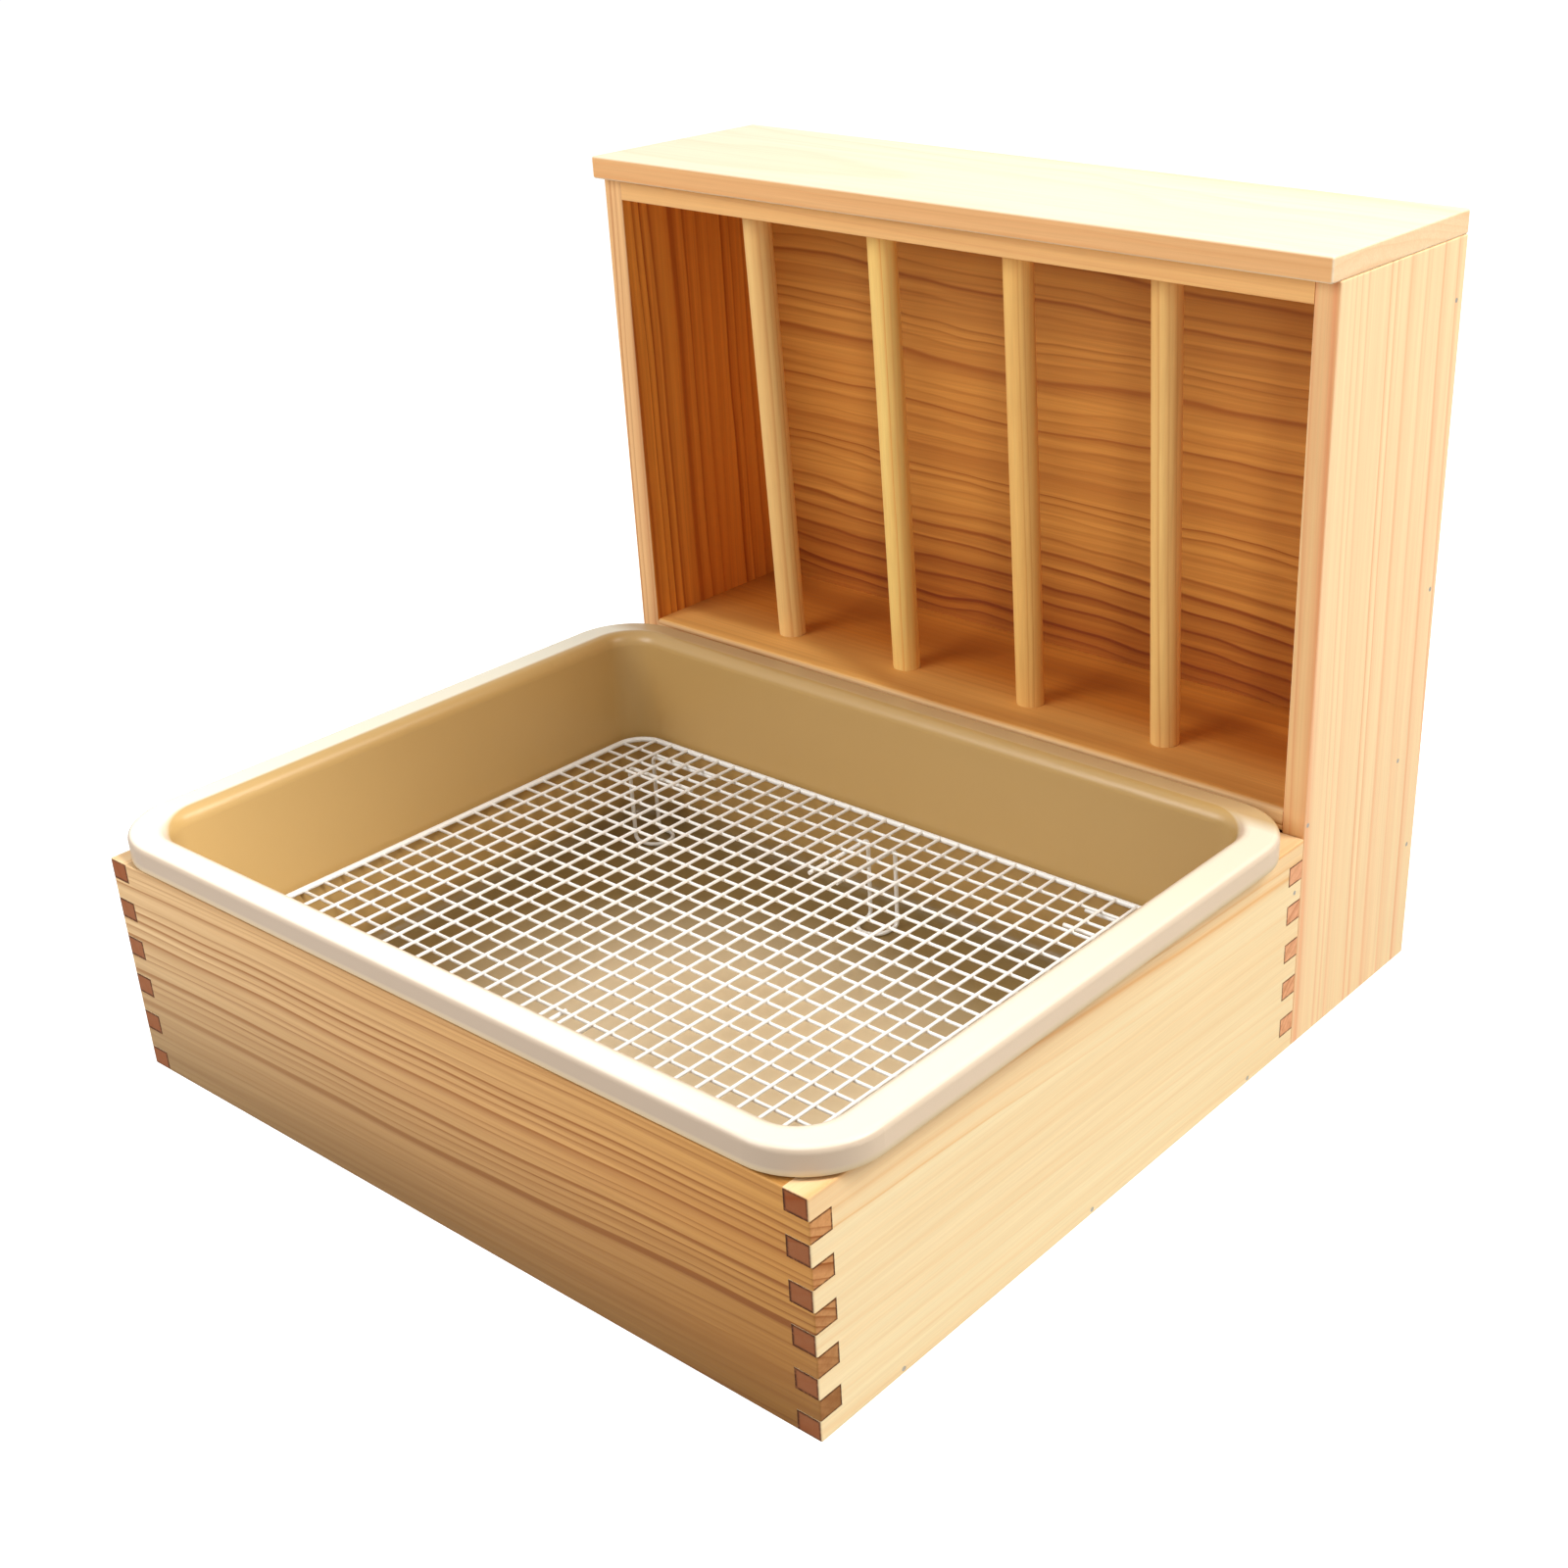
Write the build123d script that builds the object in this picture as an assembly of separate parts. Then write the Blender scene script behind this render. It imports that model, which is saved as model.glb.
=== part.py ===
"""Wooden hay feeder box for rabbits: a finger-jointed litter box with a hay rack behind it.

Millimetres. +X is to the right seen from the front, +Y runs to the back, +Z is up.
The origin is at the middle of the bottom of the whole object. The sizes below are
given from the front face of the litter box (y = 0), and every piece is moved to the
origin when it is written.
"""
import os

from build123d import *

os.makedirs("parts", exist_ok=True)

# ---------------------------------------------------------------- driving dimensions
width = 430.0                 # litter box and rack, outside
box_depth = 341.0             # litter box, front to back, outside
box_height = 112.0            # litter box boards
rack_depth = 113.0            # rack side boards, front edge to back edge
side_height = 365.0           # rack side boards and back panel
board = 12.0                  # thickness of every solid wood board
arris = 0.8                   # rounding of the sanded board edges

finger_count = 11             # fingers and gaps together, over the box height
finger_gap = 0.2              # glue gap between two fingers

bottom_thickness = 5.0        # plywood bottom of the litter box
bottom_gap = 0.2              # play of the plywood inside the boards

rack_floor_arris = 2.5        # rounding of the worn front edge of the rack floor

rail_depth = 40.0             # top rail, front to back
rail_thickness = 11.0

bar_diameter = 14.5
bar_count = 4
bar_from_left = 75.6          # middle of the first bar, from the inside of the left side
bar_from_right = 84.4         # middle of the last bar, from the inside of the right side
bar_foot_setback = 30.0       # foot of a bar behind the rack's front edge
bar_head_setback = 20.0       # head of a bar behind the rack's front edge
bar_floor_depth = 8.0         # depth of the holes in the floor
bar_rail_depth = 7.0          # depth of the holes in the rail
bar_clearance = 0.15          # all round a bar in its holes
bar_end_gap = 0.3             # below and above a bar in its holes

lid_thickness = 11.0
lid_front_overhang = 7.5
lid_arris = 1.2

dowel_diameter = 6.0
dowel_length = 30.0
dowel_clearance = 0.05
dowel_end_gap = 0.3
dowel_fingers = (2, 6)        # the end boards' fingers that hold a dowel

brad_diameter = 1.4
brad_head_diameter = 2.2
brad_head_height = 1.0
brad_length = 26.0
brad_clearance = 0.05
bottom_brad_first = 48.0      # first brad of the bottom, from the front of the box
bottom_brad_last = 40.0       # last brad of the bottom, from the back of the box
bottom_brad_count = 3
floor_brad_front = 2.5        # front brad of the rack floor, from the rack's front edge
floor_brad_back = 24.0        # back brad of the rack floor, from the rack's back edge
panel_brad_low = 65.0         # lowest brad of the back panel, above the ground
panel_brad_high = 28.0        # highest brad of the back panel, below the lid
panel_brad_count = 3
corner_brad_finger = 8

hinge_length = 30.0
hinge_leaf_height = 9.0       # from the pin's axis to the edge of a leaf
hinge_sheet = 0.8
hinge_pin_diameter = 1.6
hinge_running = 0.05          # between the pin and the knuckles, all round
hinge_knuckles = 5
knuckle_gap = 0.3             # between two knuckles, and round them
hinge_wall_gap = 0.3          # between the knuckles and the wood
pin_head_diameter = 2.6
pin_head_height = 0.6
hinge_inset = 80.0            # middle of a hinge, from the end of the lid
hinge_corner = 1.5            # rounded corners of the leaves
screw_spacing = 18.0          # between the two screws of a leaf
screw_from_axis = 5.5
screw_length = 9.0
screw_diameter = 2.0
screw_head_diameter = 3.8
screw_head_height = 0.8
screw_clearance = 0.05
screw_tip = 2.0
screw_point_diameter = 0.5
screw_slot_length = 1.9
screw_slot_width = 0.5
screw_slot_depth = 0.35

rim_end_overhang = 6.0        # tray rim outside the ends of the litter box
rim_front_overhang = 1.0
rim_back_setback = 6.5        # tray rim short of the back of the litter box
rim_corner = 36.0
rim_above_boards = 14.0       # top of the rim above the boards
rim_round = 3.0
lip_round = 7.0               # wide rounding from the rim down into the wall
skirt_height = 12.0
flange_width_x = 20.5         # from the outside of the rim in to the wall
flange_width_y = 17.0
tray_wall = 2.0
tray_taper = 3.0              # the walls lean in by this much, down to the floor
tray_floor_height = 17.5      # top of the tray floor above the ground
tray_floor_round = 8.0
basin_corner = 18.0
rib_thickness = 2.5
end_rib_inset = 77.75         # ribs under the ends of the rim, from its front and back edge
long_rib_inset = 101.0        # ribs under its front and back, from its ends

mesh_pitch = 12.0
mesh_height = 48.0            # middle of the mesh above the tray floor
mesh_play_x = 3.0             # middle of the frame wire to the foot of the tray's wall
mesh_play_y = 2.75
mesh_least_margin = 8.0       # least distance from the last grid wire to the frame wire
frame_wire = 3.0
frame_corner = 16.0
grid_wire = 1.7
grid_end = 0.6                # the grid wires stop this short of the middle of the frame wire
weld_depth = 0.3              # how far welded wires sink into each other
leg_wire = 2.2
leg_bend = 3.0
leg_spread = 18.0             # between the two sides of a leg
leg_foot = 16.0               # length of the foot on the tray floor
leg_foot_end = 0.4            # straight wire between the two round corners of a foot
leg_clearance = 0.3           # between a foot and the tray floor
corner_leg_inset = 9.0        # uprights of a corner leg, inside the last wire that runs front to back
corner_leg_arm = 48.0
middle_leg_inset = 6.0        # uprights of a middle leg, inside the last wire that runs left to right
middle_leg_arm = 45.0

# ---------------------------------------------------------------- derived places
total_depth = box_depth + rack_depth
rack_front = box_depth
knuckle_radius = hinge_pin_diameter / 2 + hinge_running + hinge_sheet
hinge_axis_y = total_depth + hinge_wall_gap + knuckle_radius
object_front = -rim_front_overhang
object_back = hinge_axis_y + knuckle_radius
origin_y = (object_front + object_back) / 2

rail_bottom = side_height - rail_thickness
rack_floor_top = box_height + board
finger_pitch = box_height / finger_count
inner_width = width - 2 * board
first_bar_x = bar_from_left - inner_width / 2
last_bar_x = inner_width / 2 - bar_from_right
bar_pitch = (last_bar_x - first_bar_x) / (bar_count - 1)
hinge_middle = width / 2 - hinge_inset
left_and_right = (-1, 1)


def block(x0, x1, y0, y1, z0, z1):
    """A box between two corners."""
    size = Box(x1 - x0, y1 - y0, z1 - z0)
    return Pos((x0 + x1) / 2, (y0 + y1) / 2, (z0 + z1) / 2) * size


def eased(shape, radius=arris):
    """A board with every edge sanded round."""
    return fillet(shape.edges(), radius)


def rod(start, end, radius):
    """A round rod between two points."""
    axis = Vector(*end) - Vector(*start)
    plane = Plane(origin=start, z_dir=axis)
    return extrude(plane * Circle(radius), axis.length)


def loose(pieces):
    """Separate solids that share one node."""
    return Compound([piece.solid() for piece in pieces])


def save(name, shape):
    """Move a piece to the origin of the object and write it."""
    placed = Pos(0, -origin_y, 0) * shape
    placed.label = name
    export_step(placed, f"parts/{name}.step")


# ---------------------------------------------------------------- brads and dowels
def brad(side, y, z, extra=0.0):
    """A brad driven in from the outside of one end, its small head flush with the board."""
    face = side * width / 2
    neck = face - side * brad_head_height
    tip = face - side * (brad_length + extra)
    shank = rod((neck, y, z), (tip, y, z), brad_diameter / 2 + extra)
    head = rod((face, y, z), (neck, y, z), brad_head_diameter / 2 + extra)
    return head + shank


def mirrored(places):
    """The same places at the left and the right end."""
    return [(side, y, z) for side in left_and_right for y, z in places]


def spaced(first, last, count):
    """Evenly spaced places from the first to the last."""
    return [first + index * (last - first) / (count - 1) for index in range(count)]


bottom_brad_ys = spaced(bottom_brad_first, box_depth - bottom_brad_last, bottom_brad_count)
floor_brad_ys = (rack_front + floor_brad_front, total_depth - floor_brad_back)
panel_brad_zs = spaced(panel_brad_low, side_height - panel_brad_high, panel_brad_count)
bottom_brads = mirrored([(y, bottom_thickness / 2) for y in bottom_brad_ys])
corner_brads = mirrored([(box_depth - board / 2, (corner_brad_finger + 0.5) * finger_pitch)])
floor_brads = mirrored([(y, box_height + board / 2) for y in floor_brad_ys])
panel_brads = mirrored([(total_depth - board / 2, z) for z in panel_brad_zs])


def drill_brads(shape, places):
    """Cut the holes of the brads."""
    for side, y, z in places:
        shape -= brad(side, y, z, brad_clearance)
    return shape


def dowel(side, finger, radius, half_length):
    """A dowel pin across the joint between the litter box and a rack side."""
    x = side * (width - board) / 2
    z = (finger + 0.5) * finger_pitch
    return rod((x, rack_front - half_length, z), (x, rack_front + half_length, z), radius)


dowel_places = [(side, finger) for side in left_and_right for finger in dowel_fingers]


def drill_dowels(shape):
    """Cut the holes of the dowel pins."""
    for side, finger in dowel_places:
        shape -= dowel(side, finger, dowel_diameter / 2 + dowel_clearance, dowel_length / 2 + dowel_end_gap)
    return shape


# ---------------------------------------------------------------- litter box
def box_ring():
    """The four boards as they stand when glued up, with the arrises sanded."""
    outer = block(-width / 2, width / 2, 0, box_depth, 0, box_height)
    outer = fillet(outer.edges().filter_by(Axis.Z), arris)
    inner = block(-inner_width / 2, inner_width / 2, board, box_depth - board, 0, box_height)
    ring = outer - inner
    levels = ring.edges().group_by(Axis.Z)
    return fillet(levels[0] + levels[-1], arris)


def fingers(x_side, y_side, first):
    """Every second finger cell of one corner, from the first one up."""
    x = x_side * (width - board) / 2
    y = board / 2 if y_side < 0 else box_depth - board / 2
    cells = Part()
    for index in range(first, finger_count, 2):
        low = index * finger_pitch + (finger_gap / 2 if index > 0 else 0)
        high = (index + 1) * finger_pitch - (finger_gap / 2 if index < finger_count - 1 else 0)
        cells += block(x - board / 2, x + board / 2, y - board / 2, y + board / 2, low, high)
    return cells


def long_board(ring, y_side):
    """The front or the back board, whose fingers are the odd ones."""
    y0 = 0 if y_side < 0 else box_depth - board
    slab = block(-inner_width / 2, inner_width / 2, y0, y0 + board, 0, box_height)
    for x_side in left_and_right:
        slab += fingers(x_side, y_side, 1)
    return ring & slab


def end_board(ring, x_side):
    """The left or the right end board, whose fingers are the even ones."""
    middle = x_side * (width - board) / 2
    slab = block(middle - board / 2, middle + board / 2, board, box_depth - board, 0, box_height)
    for y_side in (-1, 1):
        slab += fingers(x_side, y_side, 0)
    return ring & slab


ring = box_ring()
save("base_front_board", long_board(ring, -1))
save("base_back_board", drill_brads(long_board(ring, 1), corner_brads))
for x_side, name in ((-1, "base_left_end"), (1, "base_right_end")):
    end = drill_dowels(end_board(ring, x_side))
    save(name, drill_brads(end, bottom_brads + corner_brads))

bottom_panel = block(
    -inner_width / 2 + bottom_gap,
    inner_width / 2 - bottom_gap,
    board + bottom_gap,
    box_depth - board - bottom_gap,
    0,
    bottom_thickness,
)
save("base_bottom_panel", drill_brads(bottom_panel, bottom_brads))


# ---------------------------------------------------------------- hay rack
def bar_point(index, z):
    """A point on the middle line of a bar, which leans forward as it rises."""
    share = (z - rack_floor_top) / (rail_bottom - rack_floor_top)
    setback = bar_foot_setback + share * (bar_head_setback - bar_foot_setback)
    return (first_bar_x + index * bar_pitch, rack_front + setback, z)


def bar(index, radius, end_gap):
    """A bar, or with a larger radius and no end gap the hole for it."""
    foot = bar_point(index, rack_floor_top - bar_floor_depth + end_gap)
    head = bar_point(index, rail_bottom + bar_rail_depth - end_gap)
    return rod(foot, head, radius)


def drill_bars(shape):
    """Cut the holes of the bars."""
    for index in range(bar_count):
        shape -= bar(index, bar_diameter / 2 + bar_clearance, 0)
    return shape


rack_back = total_depth - board
for x_side, name in ((-1, "rack_left_side"), (1, "rack_right_side")):
    outer_x = x_side * width / 2
    inner_x = x_side * inner_width / 2
    side = block(min(outer_x, inner_x), max(outer_x, inner_x), rack_front, total_depth, 0, side_height)
    side = drill_dowels(eased(side))
    save(name, drill_brads(side, floor_brads + panel_brads))

rack_floor = block(
    -inner_width / 2, inner_width / 2, rack_front, rack_back, box_height, rack_floor_top
)
front_edges = rack_floor.edges().filter_by(Axis.X).group_by(Axis.Y)[0]
rack_floor = fillet(front_edges, rack_floor_arris)
save("rack_floor_board", drill_brads(drill_bars(rack_floor), floor_brads))

top_rail = block(
    -inner_width / 2, inner_width / 2, rack_front, rack_front + rail_depth, rail_bottom, side_height
)
top_rail = fillet(top_rail.edges().filter_by(Axis.X), arris)
save("rack_top_rail", drill_bars(top_rail))

for index in range(bar_count):
    save(f"rack_bar_{index + 1}", bar(index, bar_diameter / 2, bar_end_gap))


# ---------------------------------------------------------------- lid and its hinges
def hinge_screw(x, z, extra=0.0):
    """A countersunk screw, driven in from the outer face of a leaf; its axis points inwards."""
    shank_radius = screw_diameter / 2 + extra
    head_radius = screw_head_diameter / 2 + extra
    profile = make_face(
        Polyline(
            (0, 0),
            (head_radius, 0),
            (shank_radius, screw_head_height),
            (shank_radius, screw_length - screw_tip),
            (screw_point_diameter / 2, screw_length),
            (0, screw_length),
            close=True,
        )
    )
    turned = revolve(Plane.XZ * profile, Axis.Z)
    return Pos(x, total_depth + hinge_sheet, z) * Rot(90, 0, 0) * turned


def screw_places(upward):
    """The two screws of the leaf above or below the hinge's axis, for both hinges."""
    z = side_height + upward * screw_from_axis
    return [
        (side * hinge_middle + end * screw_spacing / 2, z)
        for side in left_and_right
        for end in (-1, 1)
    ]


def drill_screws(shape, places):
    """Cut the pilot holes of the screws."""
    for x, z in places:
        shape -= hinge_screw(x, z, screw_clearance)
    return shape


def slotted_screws(places):
    """The screws of one kind, each with a cross recess in its head."""
    face = total_depth + hinge_sheet
    group = []
    for x, z in places:
        arm = screw_slot_length / 2
        slot_y = (face - screw_slot_depth, face + screw_slot_depth)
        half = screw_slot_width / 2
        recess = block(x - arm, x + arm, *slot_y, z - half, z + half)
        recess += block(x - half, x + half, *slot_y, z - arm, z + arm)
        group.append(hinge_screw(x, z) - recess)
    return loose(group)


def hinge_leaf(middle_x, upward):
    """One leaf with its knuckles. The fixed leaf points down and holds the odd knuckles."""
    pitch = hinge_length / hinge_knuckles
    start = middle_x - hinge_length / 2
    z_edge = side_height + upward * hinge_leaf_height
    plate = block(
        start,
        start + hinge_length,
        total_depth,
        total_depth + hinge_sheet,
        min(side_height, z_edge),
        max(side_height, z_edge),
    )
    corners = plate.edges().filter_by(Axis.Y)
    outer = corners.group_by(Axis.Z)[-1 if upward > 0 else 0]
    leaf = fillet(outer, hinge_corner)
    for index in range(hinge_knuckles):
        x0 = start + index * pitch
        x1 = x0 + pitch
        own = (index % 2 == 0) == (upward < 0)
        if own:
            low = x0 + (knuckle_gap / 2 if index > 0 else 0)
            high = x1 - (knuckle_gap / 2 if index < hinge_knuckles - 1 else 0)
            leaf += rod((low, hinge_axis_y, side_height), (high, hinge_axis_y, side_height), knuckle_radius)
        else:
            low = x0 - knuckle_gap / 2
            high = x1 + knuckle_gap / 2
            clear = knuckle_radius + knuckle_gap
            leaf -= rod((low, hinge_axis_y, side_height), (high, hinge_axis_y, side_height), clear)
    bore = hinge_pin_diameter / 2 + hinge_running
    leaf -= rod(
        (start - pitch, hinge_axis_y, side_height),
        (start + hinge_length + pitch, hinge_axis_y, side_height),
        bore,
    )
    return leaf


def hinge_pin(middle_x):
    """The pin, with a small head at each end."""
    half = hinge_length / 2
    pin = rod(
        (middle_x - half, hinge_axis_y, side_height),
        (middle_x + half, hinge_axis_y, side_height),
        hinge_pin_diameter / 2,
    )
    for side in left_and_right:
        head_start = middle_x + side * half
        head_end = head_start + side * pin_head_height
        pin += rod(
            (head_start, hinge_axis_y, side_height),
            (head_end, hinge_axis_y, side_height),
            pin_head_diameter / 2,
        )
    return pin


back_screws = screw_places(-1)
lid_screws = screw_places(1)

back_panel = block(-inner_width / 2, inner_width / 2, rack_back, total_depth, 0, side_height)
save("rack_back_panel", drill_screws(drill_brads(back_panel, panel_brads), back_screws))

lid = block(
    -width / 2,
    width / 2,
    rack_front - lid_front_overhang,
    total_depth,
    side_height,
    side_height + lid_thickness,
)
save("rack_lid", drill_screws(eased(lid, lid_arris), lid_screws))

for side, name in ((-1, "left"), (1, "right")):
    middle_x = side * hinge_middle
    fixed_leaf = drill_screws(hinge_leaf(middle_x, -1), back_screws)
    lid_leaf = drill_screws(hinge_leaf(middle_x, 1), lid_screws)
    save(f"{name}_hinge_fixed_leaf", fixed_leaf)
    save(f"{name}_hinge_lid_leaf", lid_leaf)
    save(f"{name}_hinge_pin", hinge_pin(middle_x))

save("hinge_back_screws", slotted_screws(back_screws))
save("hinge_lid_screws", slotted_screws(lid_screws))

brad_groups = {
    "base_bottom_brads": bottom_brads,
    "base_corner_brads": corner_brads,
    "rack_floor_brads": floor_brads,
    "rack_back_panel_brads": panel_brads,
}
for name, places in brad_groups.items():
    save(name, loose([brad(*place) for place in places]))

dowels = [dowel(*place, dowel_diameter / 2, dowel_length / 2) for place in dowel_places]
save("box_to_rack_dowels", loose(dowels))

# ---------------------------------------------------------------- litter tray
rim_top = box_height + rim_above_boards
skirt_bottom = rim_top - skirt_height
rim_width = width + 2 * rim_end_overhang
rim_depth = box_depth + rim_front_overhang - rim_back_setback
rim_middle_y = (box_depth - rim_back_setback - rim_front_overhang) / 2
basin_width = rim_width - 2 * flange_width_x
basin_depth = rim_depth - 2 * flange_width_y
floor_width = basin_width - 2 * tray_taper
floor_depth = basin_depth - 2 * tray_taper


def rounded(size_x, size_y, corner, z, grow=0.0):
    """A rounded rectangle about the middle of the tray, at height z."""
    outline = RectangleRounded(size_x + 2 * grow, size_y + 2 * grow, corner + grow)
    return Pos(0, rim_middle_y, z) * outline


def basin(grow, drop):
    """The space inside the tray, or with its wall's thickness the outside of the basin."""
    floor_z = tray_floor_height - drop
    walls = loft(
        [
            rounded(floor_width, floor_depth, basin_corner, floor_z, grow),
            rounded(basin_width, basin_depth, basin_corner, rim_top, grow),
        ],
        ruled=True,
    )
    return fillet(walls.edges().group_by(Axis.Z)[0], tray_floor_round + grow)


def flange():
    """The rim with its skirt, before the basin is cut out."""
    slab = extrude(rounded(rim_width, rim_depth, rim_corner, skirt_bottom), skirt_height)
    slab = fillet(slab.edges().group_by(Axis.Z)[-1], rim_round)
    hollow = rounded(rim_width, rim_depth, rim_corner, skirt_bottom, -tray_wall)
    return slab - extrude(hollow, skirt_height - tray_wall)


def ribs():
    """Short ribs inside the skirt, on which the tray rests on the boards."""
    half = rib_thickness / 2
    end_rib = rim_depth / 2 - end_rib_inset
    long_rib = rim_width / 2 - long_rib_inset
    z_top = rim_top - tray_wall
    group = Part()
    for side in left_and_right:
        x0, x1 = sorted((side * basin_width / 2, side * (rim_width / 2 - tray_wall)))
        for offset in (-end_rib, end_rib):
            y = rim_middle_y + offset
            group += block(x0, x1, y - half, y + half, box_height, z_top)
        inner_y = rim_middle_y + side * basin_depth / 2
        outer_y = rim_middle_y + side * (rim_depth / 2 - tray_wall)
        y0, y1 = sorted((inner_y, outer_y))
        for x in (-long_rib, long_rib):
            group += block(x - half, x + half, y0, y1, box_height, z_top)
    return group


def near_wall(shape, z, grow):
    """The edges at one height where the wall of the basin meets the rim."""
    outline = rounded(basin_width, basin_depth, basin_corner, z, grow).wire()
    level = shape.edges().filter_by_position(Axis.Z, z - arris, z + arris)
    return [edge for edge in level if outline.distance_to(edge @ 0.5) < arris]


tray = flange() + basin(tray_wall, tray_wall)
tray = fillet(near_wall(tray, rim_top - tray_wall, tray_wall), lip_round - tray_wall)
tray = tray + ribs() - basin(0, 0)
tray = fillet(near_wall(tray, rim_top, 0), lip_round)
save("litter_tray", tray)

# ---------------------------------------------------------------- mesh platform
mesh_z = tray_floor_height + mesh_height
mesh_y = rim_middle_y
half_x = floor_width / 2 - mesh_play_x
half_y = floor_depth / 2 - mesh_play_y
last_column = (half_x - mesh_least_margin) // mesh_pitch
last_row = (half_y - mesh_least_margin) // mesh_pitch
last_x = last_column * mesh_pitch
last_y = last_row * mesh_pitch
mesh_columns = int(2 * last_column + 1)
mesh_rows = int(2 * last_row + 1)
corner_leg_x = last_x - corner_leg_inset
corner_leg_y = last_y - leg_spread / 2
middle_leg_y = last_y - middle_leg_inset
cross_z = mesh_z + (grid_wire - weld_depth) / 2
long_z = mesh_z - (grid_wire - weld_depth) / 2
arm_z = long_z - (grid_wire + leg_wire) / 2 + weld_depth
foot_z = tray_floor_height + leg_clearance + leg_wire / 2

frame_path = Pos(0, mesh_y, mesh_z) * RectangleRounded(2 * half_x, 2 * half_y, frame_corner).wire()
frame_section = Plane(frame_path @ 0, z_dir=frame_path % 0) * Circle(frame_wire / 2)
save("mesh_frame_wire", sweep(frame_section, frame_path))

long_wires = []
for row in range(mesh_rows):
    y = mesh_y - last_y + row * mesh_pitch
    reach = half_x - grid_end
    long_wires.append(rod((-reach, y, long_z), (reach, y, long_z), grid_wire / 2))
save("mesh_long_wires", loose(long_wires))

cross_wires = []
for column in range(mesh_columns):
    x = column * mesh_pitch - last_x
    reach = half_y - grid_end
    cross_wires.append(rod((x, mesh_y - reach, cross_z), (x, mesh_y + reach, cross_z), grid_wire / 2))
save("mesh_cross_wires", loose(cross_wires))


def leg(arm):
    """A hairpin of wire that points along +X: two arms, two uprights and a rounded foot."""
    side = leg_spread / 2
    turn = side - leg_foot_end / 2
    points = [
        (-arm, -side, arm_z),
        (0, -side, arm_z),
        (0, -side, foot_z),
        (-leg_foot, -side, foot_z),
        (-leg_foot, side, foot_z),
        (0, side, foot_z),
        (0, side, arm_z),
        (-arm, side, arm_z),
    ]
    path = FilletPolyline(*points, radius=[leg_bend, leg_bend, turn, turn, leg_bend, leg_bend])
    section = Plane(origin=points[0], z_dir=(1, 0, 0)) * Circle(leg_wire / 2)
    return sweep(section, path)


for y_side, depth_name in ((-1, "front"), (1, "back")):
    for x_side, side_name in ((-1, "left"), (1, "right")):
        turned = Rot(0, 0, 0 if x_side > 0 else 180) * leg(corner_leg_arm)
        place = Pos(x_side * corner_leg_x, mesh_y + y_side * corner_leg_y, 0)
        save(f"mesh_{depth_name}_{side_name}_leg", place * turned)
    turned = Rot(0, 0, 90 * y_side) * leg(middle_leg_arm)
    save(f"mesh_{depth_name}_middle_leg", Pos(0, mesh_y + y_side * middle_leg_y, 0) * turned)
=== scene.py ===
"""Looks of the wooden hay feeder box: raw softwood boards, a moulded tray and a coated wire platform."""
import math
from functools import partial

import bpy
from mathutils import Matrix, Vector


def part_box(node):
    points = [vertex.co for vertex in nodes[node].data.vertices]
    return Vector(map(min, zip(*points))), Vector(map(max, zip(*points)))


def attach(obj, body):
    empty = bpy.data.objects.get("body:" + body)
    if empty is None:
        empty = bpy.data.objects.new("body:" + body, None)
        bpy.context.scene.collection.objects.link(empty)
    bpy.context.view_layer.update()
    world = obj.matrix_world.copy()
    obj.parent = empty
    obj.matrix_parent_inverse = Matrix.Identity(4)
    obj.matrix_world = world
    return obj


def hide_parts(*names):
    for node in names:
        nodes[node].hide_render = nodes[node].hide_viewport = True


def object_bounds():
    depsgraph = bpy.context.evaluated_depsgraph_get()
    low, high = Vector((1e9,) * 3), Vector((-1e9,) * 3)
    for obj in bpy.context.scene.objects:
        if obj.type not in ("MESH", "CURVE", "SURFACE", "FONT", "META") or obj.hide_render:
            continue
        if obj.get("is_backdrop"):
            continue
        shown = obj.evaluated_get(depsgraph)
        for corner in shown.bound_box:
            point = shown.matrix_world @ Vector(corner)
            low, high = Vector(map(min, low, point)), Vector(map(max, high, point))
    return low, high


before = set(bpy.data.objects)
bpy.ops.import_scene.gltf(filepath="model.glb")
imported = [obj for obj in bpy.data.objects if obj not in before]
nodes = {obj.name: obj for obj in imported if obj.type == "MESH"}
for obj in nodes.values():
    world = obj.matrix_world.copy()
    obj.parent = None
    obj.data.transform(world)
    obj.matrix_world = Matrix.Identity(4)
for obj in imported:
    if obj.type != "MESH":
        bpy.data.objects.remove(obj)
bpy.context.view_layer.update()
scene = bpy.context.scene

# ---------------------------------------------------------------- camera, light and floor
# The feeder stands on a plain white floor and is seen from above its right front corner.
# A large soft lamp hangs over its right side and another fills the front; two narrow ones light the tray.
PHOTO_PIXELS = 1600
SENSOR_MM = 36.0
FOCAL_PIXELS = 2172.8
AXIS_PIXEL = (976.8, 871.8)
EYE = Vector((0.6338, -0.6633, 0.5604))
HEADING = math.radians(38.76)
TILT_DOWN = math.radians(27.58)
ROLL = math.radians(-1.03)

camera_data = bpy.data.cameras.new("camera")
camera_data.sensor_width = SENSOR_MM
camera_data.lens = SENSOR_MM * FOCAL_PIXELS / PHOTO_PIXELS
camera_data.shift_x = (PHOTO_PIXELS / 2 - AXIS_PIXEL[0]) / PHOTO_PIXELS
camera_data.shift_y = (AXIS_PIXEL[1] - PHOTO_PIXELS / 2) / PHOTO_PIXELS
camera = bpy.data.objects.new("camera", camera_data)
scene.collection.objects.link(camera)
turn = Matrix.Rotation(HEADING, 4, "Z") @ Matrix.Rotation(math.pi / 2 - TILT_DOWN, 4, "X")
camera.matrix_world = Matrix.Translation(EYE) @ turn @ Matrix.Rotation(ROLL, 4, "Z")
scene.camera = camera
scene.view_settings.view_transform = "Standard"


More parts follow.
